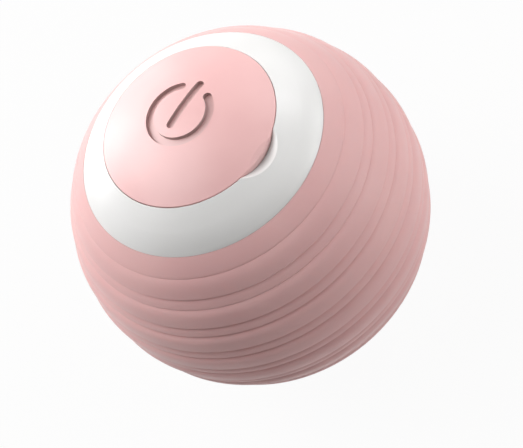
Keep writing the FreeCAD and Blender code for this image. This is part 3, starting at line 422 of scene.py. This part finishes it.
def cast_zinc():
    """Die-cast zinc, as cast: dull grey with a slightly lumpy skin."""
    material, place = fresh("cast_zinc")
    lumps = grain(material, place, 0.6 * MM, detail=4.0)
    return surface(
        material,
        {
            "Base Color": blend(material, lumps, "#77797C", "#919396"),
            "Metallic": 1.0,
            "Roughness": add(
                material, "MapRange", {"Value": lumps, "To Min": 0.45, "To Max": 0.62}
            ),
            "Normal": add(material, "Bump", {"Height": lumps, "Distance": 0.02 * MM}),
        },
    )


def pouch_foil():
    """Laminated aluminium foil of a pouch cell: soft wrinkles that catch the light."""
    material, place = fresh("pouch_foil")
    wrinkles = grain(material, place, 2.5 * MM, detail=3.0)
    return surface(
        material,
        {
            "Base Color": blend(material, wrinkles, "#B9BBBF", "#CFD1D4"),
            "Metallic": 1.0,
            "Roughness": add(
                material, "MapRange", {"Value": wrinkles, "To Min": 0.3, "To Max": 0.42}
            ),
            "Normal": add(material, "Bump", {"Height": wrinkles, "Distance": 0.06 * MM}),
        },
    )


def foam_rubber():
    """Closed-cell foam: black, with cells about a third of a millimetre across."""
    material, place = fresh("foam_rubber")
    cells = add(material, "TexVoronoi", {"Vector": place, "Scale": 1 / (0.35 * MM)})
    return surface(
        material,
        {
            "Base Color": blend(material, cells, "#111113", "#26262A", 0.1, 0.6),
            "Roughness": 0.85,
            "Normal": add(material, "Bump", {"Height": cells, "Distance": 0.06 * MM}),
        },
    )


def solder_mask():
    """Green lacquer on a glass-fibre board, with the copper tracks showing paler below it."""
    material, place = fresh("solder_mask")
    bricks = {"Mortar Size": 0.06, "Brick Width": 0.9, "Row Height": 0.3}
    layout = {"Vector": place, "Scale": 1 / (5 * MM), **bricks}
    tracks = add(material, "TexBrick", layout).outputs["Fac"]
    flow = grain(material, place, 1 * MM)
    return surface(
        material,
        {
            "Base Color": blend(material, tracks, "#0E4A2C", "#1C6B42", 0.2, 0.8),
            "Roughness": add(material, "MapRange", {"Value": flow, "To Min": 0.25, "To Max": 0.35}),
            "IOR": 1.5,
            "Normal": add(material, "Bump", {"Height": tracks, "Distance": 0.02 * MM}),
        },
    )


def clear_lens():
    """Diffused epoxy of a lamp: warm white and slightly see-into."""
    material, place = fresh("lamp_epoxy")
    clouds = grain(material, place, 0.8 * MM)
    return surface(
        material,
        {
            "Base Color": blend(material, clouds, "#E9E2C4", "#F4F0DC"),
            "Roughness": add(
                material, "MapRange", {"Value": clouds, "To Min": 0.15, "To Max": 0.25}
            ),
            "IOR": 1.5,
            "Subsurface Weight": 0.3,
            "Subsurface Radius": (0.6 * MM, 0.5 * MM, 0.4 * MM),
            "Subsurface Scale": 1.0,
        },
    )


# Pieces.


def groove_share(number):
    """How much of its full depth a groove has. The first ones, near the crown, are shallower."""
    ahead = FIRST_RING_HEAD_START
    return min(1.0, (number + ahead) / (FULL_DEPTH_RING + ahead))


def swell(outline, crest, steps):
    """Bulges the outline up to a crest, where it is level."""
    outline.bulge(crest, crest_rise(crest, outline.last.co), steps)


def fall(outline, foot, steps):
    """Bulges the outline down from its last corner, a crest where it is level, to a foot."""
    outline.bulge(foot, crest_rise(outline.last.co, foot), steps)


def crest_rise(crest, foot):
    """How far the arc from a level crest to its foot stands above its chord."""
    chord = foot - crest
    radius = -chord.length_squared / 2 / chord.dot(crest.normalized())
    return radius - math.sqrt(radius**2 - chord.length_squared / 4)


def sleeve_skin():
    """The sleeve's skin: a smooth band, then rings of a wide rib and a narrow one.
    Each rib swells from a crease and ends in a rounded step down to the next crease."""
    inner = BALL - SLEEVE_WALL
    outline = Outline(around(inner, SLEEVE_EDGE))
    outline.line(around(BALL - SLEEVE_EDGE_DROP, SLEEVE_EDGE))
    crease = SLEEVE_EDGE + SMOOTH_BAND
    swell(outline, around(BALL - SMOOTH_BAND_DROP, crease - RIB_STEP), BAND_STEPS)
    outline.bulge(around(BALL - DEEP_GROOVE * groove_share(1), crease), SOFT_EDGE, EDGE_STEPS)
    for ring in range(RIB_COUNT):
        share = groove_share(ring + 2)
        wide_end = crease + WIDE_RIB
        swell(outline, around(BALL, crease + WIDE_RIB_CREST), SWELL_STEPS)
        fall(outline, around(BALL - WIDE_RIB_FALL, wide_end), FALL_STEPS)
        foot = wide_end + RIB_STEP
        step_foot = around(BALL - WIDE_RIB_FALL - STEP_DEPTH * share, foot)
        outline.bulge(step_foot, SOFT_EDGE, EDGE_STEPS)
        narrow_crest = foot + NARROW_RIB_CREST
        swell(outline, around(BALL - NARROW_RIB_DROP, narrow_crest), NARROW_STEPS)
        crease += RIB_PITCH
        outline.arc((0, 0, 0), crease - RIB_STEP - narrow_crest, NARROW_FLAT_STEPS)
        outline.bulge(around(BALL - DEEP_GROOVE * share, crease), SOFT_EDGE, EDGE_STEPS)
    swell(outline, around(BALL, crease + WIDE_RIB_CREST), SWELL_STEPS)
    outline.arc((0, 0, 0), math.pi - crease - WIDE_RIB_CREST, FOOT_STEPS)
    outline.last.co = (0, 0, -BALL)
    outline.line((0, 0, -inner))
    outline.arc((0, 0, 0), SLEEVE_EDGE - math.pi, INSIDE_STEPS)
    return outline.turned()


def build_sleeve():
    mesh = sleeve_skin()
    soften(mesh)
    sleeve = finished("sleeve", mesh, silicone_rubber())
    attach(sleeve, "shell")
    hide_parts("silicone_sleeve")


# What each CAD node is made of.
# The cap's last two colours are painted shade: one for what lies below its outside, one for its
# sign's walls.
pink_cap = satin_abs("pink_lacquered_abs", "#F0BCBB", "#F5C3C1", "#E8BEBC", "#B79D9B")
white_shell = gloss_abs()
grey_frame = satin_abs("grey_satin_abs", "#3B3D40", "#45474A")
black_housing = satin_abs("black_satin_abs", "#161618", "#1E1E21")
steel_screws = turned_metal("zinc_plated_steel", "#9EA1A5", "#BCBFC3")
ground_steel = turned_metal("ground_steel", "#B4B6B9", "#CBCDCF", smooth=0.14, rough=0.22)
turned_brass = turned_metal("turned_brass", "#B08D4A", "#C9A765")
motor_steel = drawn_steel()
gear_nylon = natural_nylon()
NODE_MATERIALS = {
    "power_cap": pink_cap,
    "upper_shell": white_shell,
    "lower_shell": white_shell,
    "shell_screws": steel_screws,
    "chassis_screws": steel_screws,
    "board_screws": steel_screws,
    "gear_cover_screws": steel_screws,
    "weight_screw": steel_screws,
    "button_stem": grey_frame,
    "switch_plunger": black_housing,
    "switch_body": motor_steel,
    "main_board": solder_mask(),
    "usb_socket": motor_steel,
    "usb_tongue": black_housing,
    "status_leds": clear_lens(),
    "control_chip": black_housing,
    "gear_cover": grey_frame,
    "chassis": grey_frame,
    "cover_bush": turned_brass,
    "floor_bush": turned_brass,
    "pivot_bush": turned_brass,
    "drive_gear": gear_nylon,
    "idler_gear": gear_nylon,
    "motor_pinion": turned_brass,
    "idler_pin": ground_steel,
    "motor_shaft": ground_steel,
    "main_axle": ground_steel,
    "motor_can": motor_steel,
    "motor_end_cap": black_housing,
    "battery_cell": pouch_foil(),
    "battery_foam": foam_rubber(),
    "counterweight": cast_zinc(),
}


def dress_nodes():
    for name, material in NODE_MATERIALS.items():
        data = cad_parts[name].data
        data.materials.clear()
        data.materials.append(material)


# Studio.


def seen_white(material, shade, share):
    """A shader that looks white and glowing, by this share, where the camera sees it straight
    or in gloss or glass. It gives all other light as its own shade does."""
    path = add(material, "LightPath").outputs
    seen = path["Is Camera Ray"]
    for ray in ("Is Glossy Ray", "Is Transmission Ray"):
        seen = add(material, "Math", {0: seen, 1: path[ray]}, operation="MAXIMUM")
    glow = add(material, "Math", {0: seen, 1: share}, operation="MULTIPLY")
    white = add(material, "Emission", {"Color": paint("#FFFFFF"), "Strength": 1.0})
    return add(material, "MixShader", {0: glow, 1: shade, 2: white})


def build_floor():
    """A pale floor that touches the foot of the ball and keeps a faint shadow."""
    mesh = bmesh.new()
    bmesh.ops.create_grid(mesh, x_segments=1, y_segments=1, size=FLOOR_REACH)
    bmesh.ops.translate(mesh, verts=mesh.verts, vec=(0, 0, -BALL - FLOOR_GAP))
    material, _ = fresh("pale_floor")
    matt = add(material, "BsdfDiffuse", {"Color": paint("#CDCCCB")})
    add(material, "OutputMaterial", {"Surface": seen_white(material, matt, FLOOR_GLOW)})
    finished("floor", mesh, material)


def build_world():
    """White where it is seen, with only a little light of its own."""
    world = bpy.data.worlds.new("studio")
    world.use_nodes = True
    world.node_tree.nodes.clear()
    bpy.context.scene.world = world
    soft = add(world, "Background", {"Color": paint("#F4F4F4"), "Strength": WORLD_STRENGTH})
    add(world, "OutputWorld", {"Surface": seen_white(world, soft, 1.0)})


def build_lamps():
    """Square soft boxes aimed at the ball, placed by the camera's own directions."""
    for name, (right, up, back, reach, size, power) in LAMPS.items():
        way = (CAMERA_RIGHT * right + CAMERA_UP * up + CAMERA_BACK * back).normalized()
        light = bpy.data.lights.new(name, "AREA")
        light.shape = "SQUARE"
        light.size = size
        light.energy = power
        lamp = linked(name, light)
        lamp.location = way * reach
        lamp.rotation_mode = "QUATERNION"
        lamp.rotation_quaternion = way.to_track_quat("Z", "Y")


def build_camera():
    data = bpy.data.cameras.new("photo_camera")
    data.sensor_width = 36.0
    data.lens = CAMERA_LENS
    data.shift_x = BALL_LEFT_OF_MIDDLE / PHOTO_WIDTH
    data.shift_y = -BALL_ABOVE_MIDDLE / PHOTO_WIDTH
    data.clip_start = NEAREST_SEEN
    data.clip_end = FURTHEST_SEEN
    camera = linked("photo_camera", data)
    turn = Matrix((CAMERA_RIGHT, CAMERA_BACK.cross(CAMERA_RIGHT), CAMERA_BACK)).transposed()
    camera.matrix_world = Matrix.Translation(CAMERA_BACK * CAMERA_REACH) @ turn.to_4x4()
    bpy.context.scene.camera = camera


build_sleeve()
dress_nodes()
build_floor()
build_world()
build_lamps()
build_camera()
bpy.context.scene.view_settings.view_transform = "Standard"
